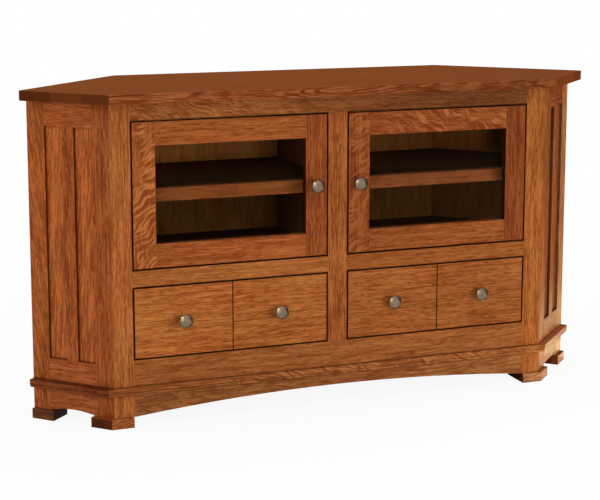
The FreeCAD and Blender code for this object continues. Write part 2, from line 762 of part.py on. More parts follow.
def make_door(side, hand):
    """Frame with its glass in a rebate, beads behind it, a knob, and holes for the pivots."""
    depth = ("places.front", "places.door_back")
    tall = ("places.door_low", "places.door_high")
    rebate = block(
        f"door_rebate_{side}",
        ("places.light_near - sizes.rebate_width", "places.light_far + sizes.rebate_width"),
        ("places.rebate", "places.door_back + sizes.overrun"),
        ("places.light_low - sizes.rebate_width", "places.light_high + sizes.rebate_width"), hand)
    hole = "sizes.pivot_radius + sizes.pivot_clearance"
    hole_depth = "sizes.pivot_length - sizes.door_gap + sizes.pivot_plate_thickness" \
                 " + sizes.pivot_hole_room"
    pivots = [
        rod(f"lower_pivot_hole_{side}", hole, f"{hole_depth} + sizes.overrun",
            "places.pivot_across", "places.pivot_along", "places.door_low - sizes.overrun", hand),
        rod(f"upper_pivot_hole_{side}", hole, f"{hole_depth} + sizes.overrun",
            "places.pivot_across", "places.pivot_along", f"places.door_high - ({hole_depth})", hand),
    ]
    name = f"door_hinge_stile_{side}"
    stile = block(name + "_board", ("places.light_far", "places.door_far"), depth, tall, hand)
    keep(name, cut(name, stile, rebate, *pivots))
    name = f"door_knob_stile_{side}"
    stile = block(name + "_board", ("places.door_near", "places.light_near"), depth, tall, hand)
    drilled = screw_hole(f"door_screw_hole_{side}", hand, "places.door_knob_across",
                         "places.door_knob_height", "sizes.door_thickness")
    keep(name, cut(name, stile, rebate, drilled))
    rails = []
    for place, up in (("bottom", ("places.door_low", "places.light_low")),
                      ("top", ("places.light_high", "places.door_high"))):
        rail = block(f"door_{place}_rail_{side}_board", ("places.light_near", "places.light_far"),
                     depth, up, hand)
        rails.append(cut(f"door_{place}_rail_{side}", rail, rebate))
    group(f"door_rails_{side}", *rails)

    keep(f"door_glass_{side}", block(
        f"door_glass_{side}",
        ("places.light_near - places.glass_reach", "places.light_far + places.glass_reach"),
        ("places.rebate", "places.glass_back"),
        ("places.light_low - places.glass_reach", "places.light_high + places.glass_reach"), hand))
    bead_depth = ("places.glass_back", "places.door_back")
    bead_up = ("places.light_low - sizes.rebate_width", "places.light_high + sizes.rebate_width")
    inner = ("places.light_near", "places.light_far")
    group(
        f"door_beads_{side}",
        block(f"near_bead_{side}", ("places.light_near - sizes.rebate_width", "places.light_near"),
              bead_depth, bead_up, hand),
        block(f"far_bead_{side}", ("places.light_far", "places.light_far + sizes.rebate_width"),
              bead_depth, bead_up, hand),
        block(f"low_bead_{side}", inner, bead_depth,
              ("places.light_low - sizes.rebate_width", "places.light_low"), hand),
        block(f"high_bead_{side}", inner, bead_depth,
              ("places.light_high", "places.light_high + sizes.rebate_width"), hand))
    group(f"door_knob_{side}", *make_knob(
        f"door_{side}_knob", hand, "places.door_knob_across", "places.door_knob_height",
        "sizes.door_thickness"))
    keep(f"strike_plate_{side}", block(
        f"strike_plate_{side}",
        ("places.door_near", "places.partition_side + sizes.catch_width"),
        ("places.door_back", "places.strike_back"), ("places.catch_low", "places.catch_high"),
        hand))


def make_door_fittings():
    """Pivot plates on the rails, with their pins, and a magnetic catch behind each knob stile."""
    pivots = []
    catches = []
    for side, hand in HANDS:
        across = ("places.opening_side - sizes.pivot_plate_length", "places.opening_side")
        along = ("places.pivot_along - sizes.pivot_plate_width / 2",
                 "places.pivot_along + sizes.pivot_plate_width / 2")
        lower = block(f"lower_pivot_plate_{side}", across, along,
                      ("places.door_sill", "places.door_sill + sizes.pivot_plate_thickness"), hand)
        lower_pin = rod(f"lower_pivot_pin_{side}", "sizes.pivot_radius",
                        "sizes.pivot_plate_thickness + sizes.pivot_length", "places.pivot_across",
                        "places.pivot_along", "places.door_sill", hand)
        upper = block(f"upper_pivot_plate_{side}", across, along,
                      ("places.door_top - sizes.pivot_plate_thickness", "places.door_top"), hand)
        upper_pin = rod(f"upper_pivot_pin_{side}", "sizes.pivot_radius",
                        "sizes.pivot_plate_thickness + sizes.pivot_length", "places.pivot_across",
                        "places.pivot_along",
                        "places.door_top - sizes.pivot_plate_thickness - sizes.pivot_length", hand)
        pivots.append(fuse(f"lower_pivot_{side}", lower, lower_pin))
        pivots.append(fuse(f"upper_pivot_{side}", upper, upper_pin))
        catches.append(block(
            f"door_catch_{side}",
            ("places.partition_side", "places.partition_side + sizes.catch_width"),
            ("places.frame_back", "places.frame_back + sizes.catch_depth"),
            ("places.catch_low", "places.catch_high"), hand))
    group("door_pivots", *pivots)
    group("door_catches", *catches)


def make_drawer(side, hand):
    """Wide front with a kerf down its middle, a box behind it and a knob in each half."""
    near_kerf = "places.drawer_middle - sizes.kerf_width / 2"
    far_kerf = "places.drawer_middle + sizes.kerf_width / 2"
    kerf_back = "places.front + sizes.kerf_depth"
    corners = [
        ("places.drawer_near", "places.front"),
        (near_kerf, "places.front"),
        (near_kerf, kerf_back),
        (far_kerf, kerf_back),
        (far_kerf, "places.front"),
        ("places.drawer_far", "places.front"),
        ("places.drawer_far", "places.drawer_front_back"),
        ("places.drawer_near", "places.drawer_front_back"),
    ]
    knobs = [("near", middle("places.drawer_near", "places.drawer_middle")),
             ("far", middle("places.drawer_middle", "places.drawer_far"))]
    holes = [screw_hole(f"{place}_drawer_screw_hole_{side}", hand, across,
                        "places.drawer_knob_height", "sizes.drawer_front_thickness")
             for place, across in knobs]
    name = f"drawer_front_{side}"
    face = board(name + "_board", handed(corners, hand), "places.drawer_low", "places.drawer_high")
    keep(name, cut(name, face, *holes))

    length = ("places.drawer_front_back", "places.drawer_end")
    bottom = block(
        f"drawer_bottom_{side}",
        ("places.box_near_inside - sizes.drawer_groove",
         "places.box_far_inside + sizes.drawer_groove"),
        length, ("places.drawer_bottom_under", "places.drawer_bottom_top"), hand)
    tall = ("places.box_under", "places.box_top")
    sides = []
    for place, low, high in (("near", "places.box_near", "places.box_near_inside"),
                             ("far", "places.box_far_inside", "places.box_far")):
        side_board = block(f"{place}_drawer_side_{side}_board", (low, high), length, tall, hand)
        sides.append(cut(f"{place}_drawer_side_{side}", side_board, bottom))
    end = block(f"drawer_back_{side}", ("places.box_near_inside", "places.box_far_inside"),
                ("places.drawer_end - sizes.drawer_side_thickness", "places.drawer_end"),
                ("places.drawer_bottom_top", "places.box_top"), hand)
    group(f"drawer_box_{side}", *sides, end, bottom)
    pieces = []
    for place, across in knobs:
        pieces += make_knob(f"{place}_drawer_knob_{side}", hand, across,
                            "places.drawer_knob_height", "sizes.drawer_front_thickness")
    group(f"drawer_knobs_{side}", *pieces)


make_top_slab()
make_front_frame()
make_base_moulding()
make_carcass()
make_back_feet()
make_shelves()
make_drawer_housing()
make_door_fittings()
for side, hand in HANDS:
    make_side_frame(side, hand)
    make_feet(side, hand)
    make_door(side, hand)
    make_drawer(side, hand)
doc.recompute()

for item in doc.Objects:
    if {"Invalid", "Error"} & set(item.State):
        raise RuntimeError(f"{item.Name} did not compute: {item.State}")
for label, piece in subparts.items():
    if piece.Shape.isNull() or not piece.Shape.isValid() or not piece.Shape.Solids:
        raise RuntimeError(f"{label} has no valid solid")

os.makedirs("parts", exist_ok=True)
for label, piece in subparts.items():
    piece.Shape.exportStep(f"parts/{label}.step")
print(len(subparts), "sub-parts,", sum(len(piece.Shape.Solids) for piece in subparts.values()), "solids")
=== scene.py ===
import json
import math

import bmesh
import bpy
from mathutils import Matrix, Vector


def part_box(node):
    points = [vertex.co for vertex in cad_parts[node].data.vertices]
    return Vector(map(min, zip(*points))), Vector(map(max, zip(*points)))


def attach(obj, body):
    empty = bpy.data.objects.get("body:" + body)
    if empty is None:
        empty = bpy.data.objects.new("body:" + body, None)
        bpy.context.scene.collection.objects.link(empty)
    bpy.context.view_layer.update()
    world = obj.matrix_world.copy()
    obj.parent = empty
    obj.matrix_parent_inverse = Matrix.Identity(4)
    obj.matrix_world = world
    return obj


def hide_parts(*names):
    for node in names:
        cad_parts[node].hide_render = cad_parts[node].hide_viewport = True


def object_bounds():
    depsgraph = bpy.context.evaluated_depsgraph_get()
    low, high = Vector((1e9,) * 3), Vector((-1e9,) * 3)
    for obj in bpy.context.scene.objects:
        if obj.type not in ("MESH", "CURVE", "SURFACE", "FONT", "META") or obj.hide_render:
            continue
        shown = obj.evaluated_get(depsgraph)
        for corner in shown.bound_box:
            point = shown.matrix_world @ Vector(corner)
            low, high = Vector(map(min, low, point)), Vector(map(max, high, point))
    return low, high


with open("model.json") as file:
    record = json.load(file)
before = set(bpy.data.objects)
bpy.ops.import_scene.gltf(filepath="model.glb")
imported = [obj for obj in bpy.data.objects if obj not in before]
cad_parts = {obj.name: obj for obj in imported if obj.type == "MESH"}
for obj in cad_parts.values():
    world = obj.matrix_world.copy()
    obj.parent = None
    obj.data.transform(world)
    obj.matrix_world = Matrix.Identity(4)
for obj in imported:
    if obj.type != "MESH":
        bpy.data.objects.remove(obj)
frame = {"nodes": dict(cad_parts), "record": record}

cad_low, cad_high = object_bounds()

MM = 0.001

# Directions on the case, seen from the front
UP = Vector((0, 0, 1))
RIGHT = Vector((1, 0, 0))
BACKWARD = Vector((0, 1, 0))
FRONT_FACE = Vector((0, -1, 0))
LEFT_RUN = Vector((-1, 1, 0)).normalized()
LEFT_FACE = Vector((-1, -1, 0)).normalized()
RIGHT_RUN = Vector((1, 1, 0)).normalized()
RIGHT_FACE = Vector((1, -1, 0)).normalized()
HANDS = ("left", "right")

BODY_OF = {node: body for body, nodes in frame["record"]["behaviour"]["bodies"].items()
           for node in nodes}

# Patterns of the wood: noise features in a metre along the grain, across it and into the face
WANDER = (5, 9, 9)
FINE_STREAKS = (34, 400, 400)
GRAIN_LINES = (9, 190, 190)
BROAD_STREAKS = (8, 62, 62)
STAIN_CLOUDS = (12, 22, 22)
STAIN_HUES = (4, 13, 13)
OPEN_PORES = (52, 430, 430)
ARCHED_HILLS = (2.4, 15, 15)
RAY_BENDS = (17, 17, 17)
RAY_PATCHES = (9, 18, 18)
PLAIN_FINE = (8, 210, 210)
PLAIN_BROAD = (2, 30, 30)
# Patterns of the rest: noise features in a metre to the right, backward and up
METAL_CLOUDS = (140, 140, 140)
BRUSHED_UPWARD = (900, 60, 60)
BRUSHED_ACROSS = (60, 900, 60)
BRUSHED_ANY_WAY = (260, 260, 260)
PLASTIC_SPECKLE = (900, 900, 900)
GLASS_CLOUDS = (5, 5, 5)
PAPER_TOOTH = (60, 60, 60)
CLOTH_NAP = (400, 400, 400)

# How far the grain lines wander and the rays bend, in metres
WANDER_REACH = 9 * MM
BEND_REACH = 50 * MM
# The late wood rings of the arched figure, in radians from the lowest noise to the highest
RINGS = 95

# How much of a stain's red, green and blue light comes back from each feature of the wood
DARK_GRAIN = (0.66, 0.54, 0.42)
PALE_GRAIN = (1.32, 1.46, 1.62)
PORES_TINT = (0.42, 0.26, 0.2)
LATE_WOOD = (0.5, 0.3, 0.25)
RAY_EDGE = (0.62, 0.45, 0.36)
RAY_MIDDLE = (1.50, 1.85, 2.1)
SOAKED_END = (0.22, 0.17, 0.14)
DRIER_END = (0.70, 0.53, 0.42)
# The painted highlight on arrises and tops that are turned up or to the left
PAINTED_HIGHLIGHT_TINT = (1.5, 1.8, 2.2)
MORE_GOLDEN = (0.993, 1.03, 1.00, 1)
MORE_RED = (1.007, 0.955, 0.94, 1)
# The colour of the painted shade in gaps, recesses, grooves and on sides turned from the light
PAINTED_SHADE_TONE = (24, 8, 3)

# How far apart in the noise two boards lie whose seeds are neighbours, in metres
SEED_STEP = (0.73, 1.37, 0.41)
# The width of the boards that the slab is glued up from, and the draw that stains each of them
PLANK_WIDTH = 62 * MM
PLANK_DRAW = 28


# Colours

def stain(red, green, blue, strength=1.0):
    """A colour as it shows on a screen, 0 to 255, as the light it sends back."""
    def linear(part):
        part = part / 255
        return part / 12.92 if part <= 0.04045 else ((part + 0.055) / 1.055) ** 2.4
    return tuple(min(1.0, linear(part) * strength) for part in (red, green, blue)) + (1.0,)


def tinted(tone, tint):
    """A stain's light with each part made stronger or weaker."""
    return tuple(min(1.0, part * share) for part, share in zip(stain(*tone), (*tint, 1)))


# Node building

def put(tree, kind, sockets=None, **settings):
    """A new node, with sockets given as values or as the outputs that feed them."""
    made = tree.nodes.new(kind)
    for name, value in settings.items():
        setattr(made, name, value)
    for name, value in (sockets or {}).items():
        if isinstance(value, bpy.types.NodeSocket):
            tree.links.new(value, made.inputs[name])
        else:
            made.inputs[name].default_value = value
    return made


def maths(tree, operation, first, second=0.0, clamp=False):
    made = put(tree, "ShaderNodeMath", {0: first, 1: second}, operation=operation, use_clamp=clamp)
    return made.outputs[0]


def weighed(tree, *pairs):
    """The sum of some values, each times its weight."""
    total = 0.0
    for value, weight in pairs:
        total = maths(tree, "ADD", total, maths(tree, "MULTIPLY", value, weight))
    return total


def centred(tree, value):
    """Noise that goes from 0 to 1, moved so that its middle is 0."""
    return maths(tree, "SUBTRACT", value, 0.5)


def vectors(tree, operation, first, second):
    made = put(tree, "ShaderNodeVectorMath", {0: first, 1: second}, operation=operation)
    return made.outputs[0]


def scaled(tree, colour, share):
    made = put(tree, "ShaderNodeVectorMath", {0: colour, "Scale": share}, operation="SCALE")
    return made.outputs[0]


def toward(tree, vector, way):
    """How far a vector goes one way, which for a normal is 1 where it points that way."""
    made = put(tree, "ShaderNodeVectorMath", {0: vector, 1: way}, operation="DOT_PRODUCT")
    return made.outputs["Value"]


def noise(tree, place, features, detail, roughness=0.5, output="Fac"):
    """Noise with so many features in a metre each way."""
    made = put(tree, "ShaderNodeTexNoise",
               {"Vector": vectors(tree, "MULTIPLY", place, features), "Scale": 1.0,
                "Detail": detail, "Roughness": roughness})
    return made.outputs[output]


def ramp(tree, value, low, high, start=0.0, end=1.0, smooth=True):
    made = put(tree, "ShaderNodeMapRange",
               {"Value": value, "From Min": low, "From Max": high, "To Min": start, "To Max": end},
               interpolation_type="SMOOTHSTEP" if smooth else "LINEAR")
    return made.outputs["Result"]


def mixed(tree, share, first, second, blend="MIX"):
    made = put(tree, "ShaderNodeMix", {0: share, 6: first, 7: second},
               data_type="RGBA", blend_type=blend, clamp_factor=True)
    return made.outputs[2]


def over(tree, colour, where, amount, tint):
    """The colour with so much of a tint laid over it where a value is high."""
    return mixed(tree, maths(tree, "MULTIPLY", where, amount), colour, tint)


def mottled(tree, tone, value, change):
    """A tone made weaker or stronger by a value that varies round its middle."""
    return mixed(tree, ramp(tree, value, 0.35, 0.65), stain(*tone, strength=1 - change),
                 stain(*tone, strength=1 + change))


def object_place(tree):
    return put(tree, "ShaderNodeTexCoord").outputs["Object"]


def board_place(tree, grain, face, seed, tilt=0):
    """The place on a board in metres: along its grain, across it, and into its face."""
    grain = Matrix.Rotation(math.radians(tilt), 3, face) @ grain
    turn = Matrix((grain, face.cross(grain), face)).to_euler("XYZ")
    there = put(tree, "ShaderNodeTexCoord")
    mapping = put(tree, "ShaderNodeMapping",
                  {"Vector": there.outputs["Object"], "Rotation": turn,
                   "Location": [step * seed for step in SEED_STEP]})
    return mapping.outputs["Vector"], there.outputs["Normal"]


def along_board(tree, way, low, high, first, last):
    """A value that goes smoothly from the first to the last between two places on the object."""
    return ramp(tree, toward(tree, object_place(tree), way), low, high, first, last)


def blank(name):
    """A material with nothing in it but its output."""
    made = bpy.data.materials.new(name)
    made.use_nodes = True
    made.node_tree.nodes.clear()
    return made, made.node_tree, put(made.node_tree, "ShaderNodeOutputMaterial")


def show(tree, output, shader):
    tree.links.new(shader.outputs[0], output.inputs["Surface"])


def skin(tree, output, sockets, strength, depth, height):
    """Ends a material with a surface that has a fine relief."""
    relief = put(tree, "ShaderNodeBump",
                 {"Strength": strength, "Distance": depth, "Height": height})
    show(tree, output, put(tree, "ShaderNodeBsdfPrincipled",
                           {**sockets, "Normal": relief.outputs["Normal"]}))


# Materials

def ray_flecks(tree, place, slope, ray_width, fade):
    """Bent bands that lie across the grain, and the patches of a board where they show."""
    bend = noise(tree, place, RAY_BENDS, 1.0, output="Color")
    bend = vectors(tree, "SUBTRACT", bend, (0.5, 0.5, 0.5))
    bend = vectors(tree, "MULTIPLY", bend, (BEND_REACH, BEND_REACH, 0.0))
    sloped = put(tree, "ShaderNodeVectorRotate",
                 {"Vector": vectors(tree, "ADD", place, bend), "Axis": (0, 0, 1),
                  "Angle": math.radians(slope)})
    bands = 1 / (ray_width * MM)
    flecks = noise(tree, sloped.outputs[0], (bands / 6, bands, 30), 1.0)
    patches = ramp(tree, noise(tree, place, RAY_PATCHES, 1.0), 0.32, 0.50)
    if fade:
        patches = maths(tree, "MULTIPLY", patches, along_board(tree, *fade))
    return flecks, patches


def oak(name, grain, face, tone, seed, streaks=1.0, pores=1.0, patchy=1.0, tilt=0, calm=0.0,
        cathedral=0.0, rays=0.0, slope=45, ray_width=7, fleck_edge=0.7, fleck_start=0.52,
        fade=None, painted_light_drift=None, shades=(), end_grain=0.45, planks=None, shine=0.035, gloss=0.42):
    """Stained oak: streaks and pores along the grain, pale ray flecks across it, darker ends.

    Streaks, pores, patchy, cathedral, rays and end_grain say how strongly these features show,
    and calm how much less of the figure shows on the face and the ends. Tilt and slope turn the
    grain and the rays, in degrees. The rays are ray_width wide, in mm, and the boards that a
    piece is glued up from are planks wide, in metres. Fade and drift say how the rays change and
    how the colour grows brighter or darker for painted light and shade: a way, two places along
    it in metres, and the strength at each. Each shade is painted shade, with its depth and its
    bounds, which are a way and the two places between which it comes in.
    """
    made, tree, output = blank(name)
    place, normal = board_place(tree, grain, face, seed, tilt)

    # The grain lines wander a little to each side
    wander = centred(tree, noise(tree, place, WANDER, 1.0))
    aside = put(tree, "ShaderNodeCombineXYZ",
                {"Y": maths(tree, "MULTIPLY", wander, WANDER_REACH)}).outputs[0]
    flow = vectors(tree, "ADD", place, aside)

    if calm:
        # The figure is weaker on the board's face and on its ends
        facing = [maths(tree, "ABSOLUTE", toward(tree, normal, way)) for way in (face, grain)]
        quiet = ramp(tree, maths(tree, "MAXIMUM", *facing), 0.3, 0.75, 1.0, 1.0 - calm)

    def calmed(value):
        return maths(tree, "MULTIPLY", value, quiet) if calm else value

    # Fine and broad streaks, and a clouded stain
    fine = noise(tree, flow, FINE_STREAKS, 3.0, 0.65)
    lines = noise(tree, flow, GRAIN_LINES, 2.0)
    broad = noise(tree, flow, BROAD_STREAKS, 2.0)
    cloud = noise(tree, place, STAIN_CLOUDS, 2.0)
    share = weighed(tree, (centred(tree, fine), 3.3 * streaks),
                    (centred(tree, lines), 2.0 * streaks),
                    (centred(tree, broad), 1.5 * streaks * patchy),
                    (centred(tree, cloud), 0.6 * patchy))
    share = maths(tree, "ADD", calmed(share), 0.5, clamp=True)
    colour = mixed(tree, share, tinted(tone, DARK_GRAIN), tinted(tone, PALE_GRAIN))

    # Some of the stain is redder, some of it more golden
    hue = calmed(ramp(tree, noise(tree, place, STAIN_HUES, 2.0), 0.36, 0.64))
    colour = mixed(tree, 1.0, colour, mixed(tree, hue, MORE_GOLDEN, MORE_RED), "MULTIPLY")

    # Open pores hold more stain
    dashes = ramp(tree, noise(tree, flow, OPEN_PORES, 1.0), 0.55, 0.70)
    colour = over(tree, colour, dashes, 0.5 * pores, tinted(tone, PORES_TINT))

    if cathedral:
        # Nested arches of late wood on a board cut through the side of the log
        hills = noise(tree, flow, ARCHED_HILLS, 1.0)
        rings = ramp(tree, maths(tree, "SINE", maths(tree, "MULTIPLY", hills, RINGS)), 0.0, 1.0)
        rings = maths(tree, "MULTIPLY", rings, ramp(tree, broad, 0.36, 0.6, 0.2, 1.0))
        colour = over(tree, colour, calmed(rings), cathedral, tinted(tone, LATE_WOOD))

    if rays:
        # Each fleck is pale, with a dark edge
        flecks, patches = ray_flecks(tree, place, slope, ray_width, fade)
        for low, high, strength, tint in ((0.50, 0.40, fleck_edge, RAY_EDGE),
                                          (fleck_start, fleck_start + 0.07, 1.0, RAY_MIDDLE)):
            band = maths(tree, "MULTIPLY", ramp(tree, flecks, low, high), patches)
            colour = over(tree, colour, band, rays * strength, tinted(tone, tint))

    if painted_light_drift:
        # Painted light and shade: the side that is turned to the front grows brighter or darker
        # from one end to the other
        frontal = ramp(tree, toward(tree, normal, FRONT_FACE), 0.3, 0.6)
        change = maths(tree, "SUBTRACT", along_board(tree, *painted_light_drift), 1.0)
        change = maths(tree, "MULTIPLY", change, frontal)
        colour = scaled(tree, colour, maths(tree, "ADD", change, 1.0))

    for depth, bounds in shades:
        # Painted shade: the colour is darker where all the bounds are passed, on the side that the
        # board shows
        darker = ramp(tree, toward(tree, normal, face), 0.3, 0.6, 0.0, depth)
        for way, low, high in bounds:
            darker = maths(tree, "MULTIPLY", along_board(tree, way, low, high, 0.0, 1.0), darker)
        colour = scaled(tree, colour, maths(tree, "SUBTRACT", 1.0, darker))

    # Cut ends drink in more stain
    ends = ramp(tree, maths(tree, "ABSOLUTE", toward(tree, normal, grain)), 0.3, 0.95)
    soak = weighed(tree, (cloud, 0.8), (share, 0.3))
    if planks:
        # Each board that is glued up into the slab takes the stain in its own way
        across = put(tree, "ShaderNodeSeparateXYZ", {0: object_place(tree)}).outputs["Y"]
        number = maths(tree, "FLOOR", maths(tree, "DIVIDE", across, planks))
        draw = put(tree, "ShaderNodeTexWhiteNoise",
                   {"W": maths(tree, "ADD", number, PLANK_DRAW)}, noise_dimensions="1D")
        change = maths(tree, "SUBTRACT", draw.outputs["Value"], 0.6)
        soak = maths(tree, "ADD", soak, maths(tree, "MULTIPLY", change, 1.2))
    colour = over(tree, colour, ends, end_grain,
                  mixed(tree, soak, tinted(tone, SOAKED_END), tinted(tone, DRIER_END)))

    # Painted highlight on arrises and tops turned up or to the left, and painted shade on other
    # arrises, on the sides of gaps and recesses and on sides turned from the light
    for mark, amount, tint in (("painted_highlight", 0.4, tinted(tone, PAINTED_HIGHLIGHT_TINT)),
                               ("painted_shade", 0.9, stain(*PAINTED_SHADE_TONE))):
        marked = put(tree, "ShaderNodeAttribute", attribute_type="GEOMETRY", attribute_name=mark)
        colour = over(tree, colour, marked.outputs["Fac"], amount, tint)

    roughness = ramp(tree, fine, 0.3, 0.7, gloss + 0.07, gloss - 0.05, smooth=False)
    height = maths(tree, "SUBTRACT", maths(tree, "MULTIPLY", fine, 0.4), dashes)
    skin(tree, output, {"Base Color": colour, "Roughness": roughness,
                        "Specular IOR Level": shine}, 0.3, 0.4 * MM, height)
    return made


def plain_wood(name, grain, face, tone, seed):
    """Secondary wood, lacquered and not stained: close, quiet grain."""
    made, tree, output = blank(name)
    place = board_place(tree, grain, face, seed)[0]
    fine = noise(tree, place, PLAIN_FINE, 3.0)
    broad = noise(tree, place, PLAIN_BROAD, 1.0)
    share = ramp(tree, weighed(tree, (fine, 0.6), (broad, 0.4)), 0.38, 0.62, smooth=False)
    colour = mixed(tree, share, stain(*tone, strength=0.78), stain(*tone, strength=1.12))
    skin(tree, output, {"Base Color": colour, "Roughness": ramp(tree, fine, 0.3, 0.7, 0.5, 0.42),
                        "Specular IOR Level": 0.3}, 0.2, 0.2 * MM, fine)
    return made


def metal(name, tone, gloss, brushing, wear=0.12):
    """Brushed or plated metal with fine lines and a cloudy polish."""
    made, tree, output = blank(name)
    there = object_place(tree)
    lines = noise(tree, there, brushing, 2.0)
    clouds = noise(tree, there, METAL_CLOUDS, 2.0)
    colour = mottled(tree, tone, weighed(tree, (lines, 0.5), (clouds, 0.5)), wear)
    roughness = ramp(tree, clouds, 0.3, 0.7, gloss - 0.05, gloss + 0.06)
    skin(tree, output, {"Base Color": colour, "Metallic": 1.0, "Roughness": roughness},
         0.15, 0.1 * MM, lines)
    return made


def moulded_plastic(name, tone):
    made, tree, output = blank(name)
    speckle = noise(tree, object_place(tree), PLASTIC_SPECKLE, 2.0)
    skin(tree, output, {"Base Color": mottled(tree, tone, speckle, 0.15),
                        "Roughness": ramp(tree, speckle, 0.3, 0.7, 0.5, 0.6)},
         0.2, 0.1 * MM, speckle)
    return made


def float_glass(name):
    """Clear glass that lets the lamps reach what is behind it."""
    made, tree, output = blank(name)
    body = mixed(tree, noise(tree, object_place(tree), GLASS_CLOUDS, 1.0),
                 (0.93, 0.94, 0.92, 1), (0.95, 0.96, 0.94, 1))
    pane = put(tree, "ShaderNodeBsdfPrincipled",
               {"Base Color": body, "IOR": 1.05, "Transmission Weight": 1.0, "Roughness": 0.0,
                "Specular Tint": (0.6, 0.4, 0.25, 1)})
    clear = put(tree, "ShaderNodeBsdfTransparent", {"Color": (0.93, 0.95, 0.94, 1)})
    path = put(tree, "ShaderNodeLightPath")
    show(tree, output, put(tree, "ShaderNodeMixShader",
                           {0: path.outputs["Is Shadow Ray"], 1: pane.outputs[0],
                            2: clear.outputs[0]}))
    return made


# Shapes

SHARP_ANGLE = math.radians(25)
FLAT_ANGLE = math.radians(0.1)
MERGE_DISTANCE = 0.002 * MM
SHORTEST_EASED = 4 * MM
NEAR = 0.1 * MM
# A side is turned one way squarely, nearly or partly where the cosine is more than this
SQUARELY = 0.9
NEARLY = 0.8
PARTLY = 0.3


def merged_copy(node):
    """A bmesh of a CAD node's mesh with its loose triangles joined and its flat faces whole."""
    shape = bmesh.new()
    shape.from_mesh(frame["nodes"][node].data)
    bmesh.ops.remove_doubles(shape, verts=shape.verts, dist=MERGE_DISTANCE)
    bmesh.ops.dissolve_limit(shape, angle_limit=FLAT_ANGLE, use_dissolve_boundaries=False,
                             verts=shape.verts, edges=shape.edges)
    return shape


def cut(shape, spot, axis):
    """Splits the faces along the plane through a spot, square to an axis."""
    bmesh.ops.bisect_plane(shape, geom=shape.verts[:] + shape.edges[:] + shape.faces[:],
                           dist=MERGE_DISTANCE, plane_co=spot, plane_no=axis)


def face_layer(shape, name):
    return shape.faces.layers.float.get(name) or shape.faces.layers.float.new(name)


def ease(shape, width, segments, chosen=None, painted_highlight=0.0, painted_shade=0.0):
    """Rounds the chosen sharp edges, and marks the new faces with painted highlight or painted
    shade.
    """
    highlight_layer, dark = face_layer(shape, "painted_highlight"), face_layer(shape, "painted_shade")
    edges = [edge for edge in shape.edges
             if edge.is_manifold and edge.is_convex and edge.calc_face_angle() > SHARP_ANGLE
             and edge.calc_length() > SHORTEST_EASED and (chosen is None or chosen(edge))]
    made = bmesh.ops.bevel(shape, geom=edges, offset=width, offset_type="OFFSET",
                           segments=segments, profile=0.5, affect="EDGES", clamp_overlap=True,
                           material=-1)
    for face in made["faces"]:
        # Painted highlight on the new faces that are turned up or to the left, and painted shade
        # on the others
        pale = face.normal.z - face.normal.x > -0.1
        face[highlight_layer] = painted_highlight if pale else 0.0
        face[dark] = max(painted_shade, 0.0 if pale else 0.6 * painted_highlight)


def paint_shade(shape, chosen, amount):
    """Marks the chosen faces with painted shade, as on the sides of a gap or a recess or on a side
    turned from the light.
    """
    highlight_layer, dark = face_layer(shape, "painted_highlight"), face_layer(shape, "painted_shade")
    for side in shape.faces:
        if not side[highlight_layer] and chosen(side):
            side[dark] = amount


def paint_highlight(shape, chosen, amount):
    """Marks the chosen faces with a painted highlight, as on an upper side where the light falls.
    """
    highlight_layer, dark = face_layer(shape, "painted_highlight"), face_layer(shape, "painted_shade")
    for side in shape.faces:
        if chosen(side):
            side[highlight_layer] = amount
            side[dark] = 0.0


def give_second(shape, chosen):
    """Gives the chosen faces the piece's second material, and the other faces its first."""
    for side in shape.faces:
        side.material_index = 1 if chosen(side) else 0


def turned_to(way, least=SQUARELY):
    """Chooses the faces that are turned one way."""
    return lambda side: side.normal.dot(way) > least


def between(low, high):
    """Chooses the faces whose middle lies between two heights."""
    return lambda side: low < side.calc_center_median().z < high


def as_object(shape, name, sharp_from=None):
    """An object with the shape as its mesh: flat faces, or smooth ones with some sharp edges."""
    mesh = bpy.data.meshes.new(name)
    shape.to_mesh(mesh)
    shape.free()
    if sharp_from is not None:
        mesh.polygons.foreach_set("use_smooth", [True] * len(mesh.polygons))
        mesh.set_sharp_from_angle(angle=math.radians(sharp_from))
    made = bpy.data.objects.new(name, mesh)
    bpy.context.scene.collection.objects.link(made)
    return made


def stands_for(piece, node, *materials):
    """Dresses the piece, lets it move with the node's body and shows it instead of the node."""
    for material in materials:
        piece.data.materials.append(material)
    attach(piece, BODY_OF[node])
    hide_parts(node)


def dress(node, material):
    """Gives a CAD node its finish."""
    target = frame["nodes"][node]
    for slot in target.material_slots:
        slot.material = material


